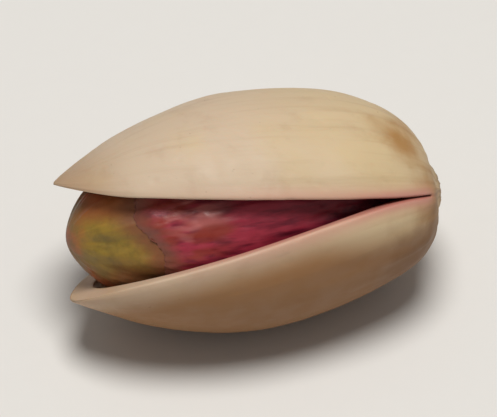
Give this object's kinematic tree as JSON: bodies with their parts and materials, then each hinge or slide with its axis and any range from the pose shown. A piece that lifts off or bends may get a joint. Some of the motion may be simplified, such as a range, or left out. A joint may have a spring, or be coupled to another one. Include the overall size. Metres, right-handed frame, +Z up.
{
  "type": "pistachio in shell",
  "caption": "Split pistachio lying on its side: a hard woody shell gaping from beak to stem end, with the skinned seed showing inside.",
  "frame": {"origin": "under the middle of the nut's box, on the surface that it lies on", "axes": "+X along the nut towards its stem end, with the beak at -X; the long split faces -Y and about 37 degrees upwards; +Z up"},
  "size_m": [0.0214, 0.0134, 0.0131],
  "materials": {
    "shell": "smooth dry nutshell, cream with tan and ochre stains, satin",
    "kernel": "waxy olive-green seed flesh with brown blotches",
    "kernel_skin": "thin papery seed coat, crimson to wine-brown, faint sheen"
  },
  "bodies": {
    "root": {"shell": "shell", "kernel": "kernel", "kernel_skin": "kernel_skin"}
  },
  "joints": []
}
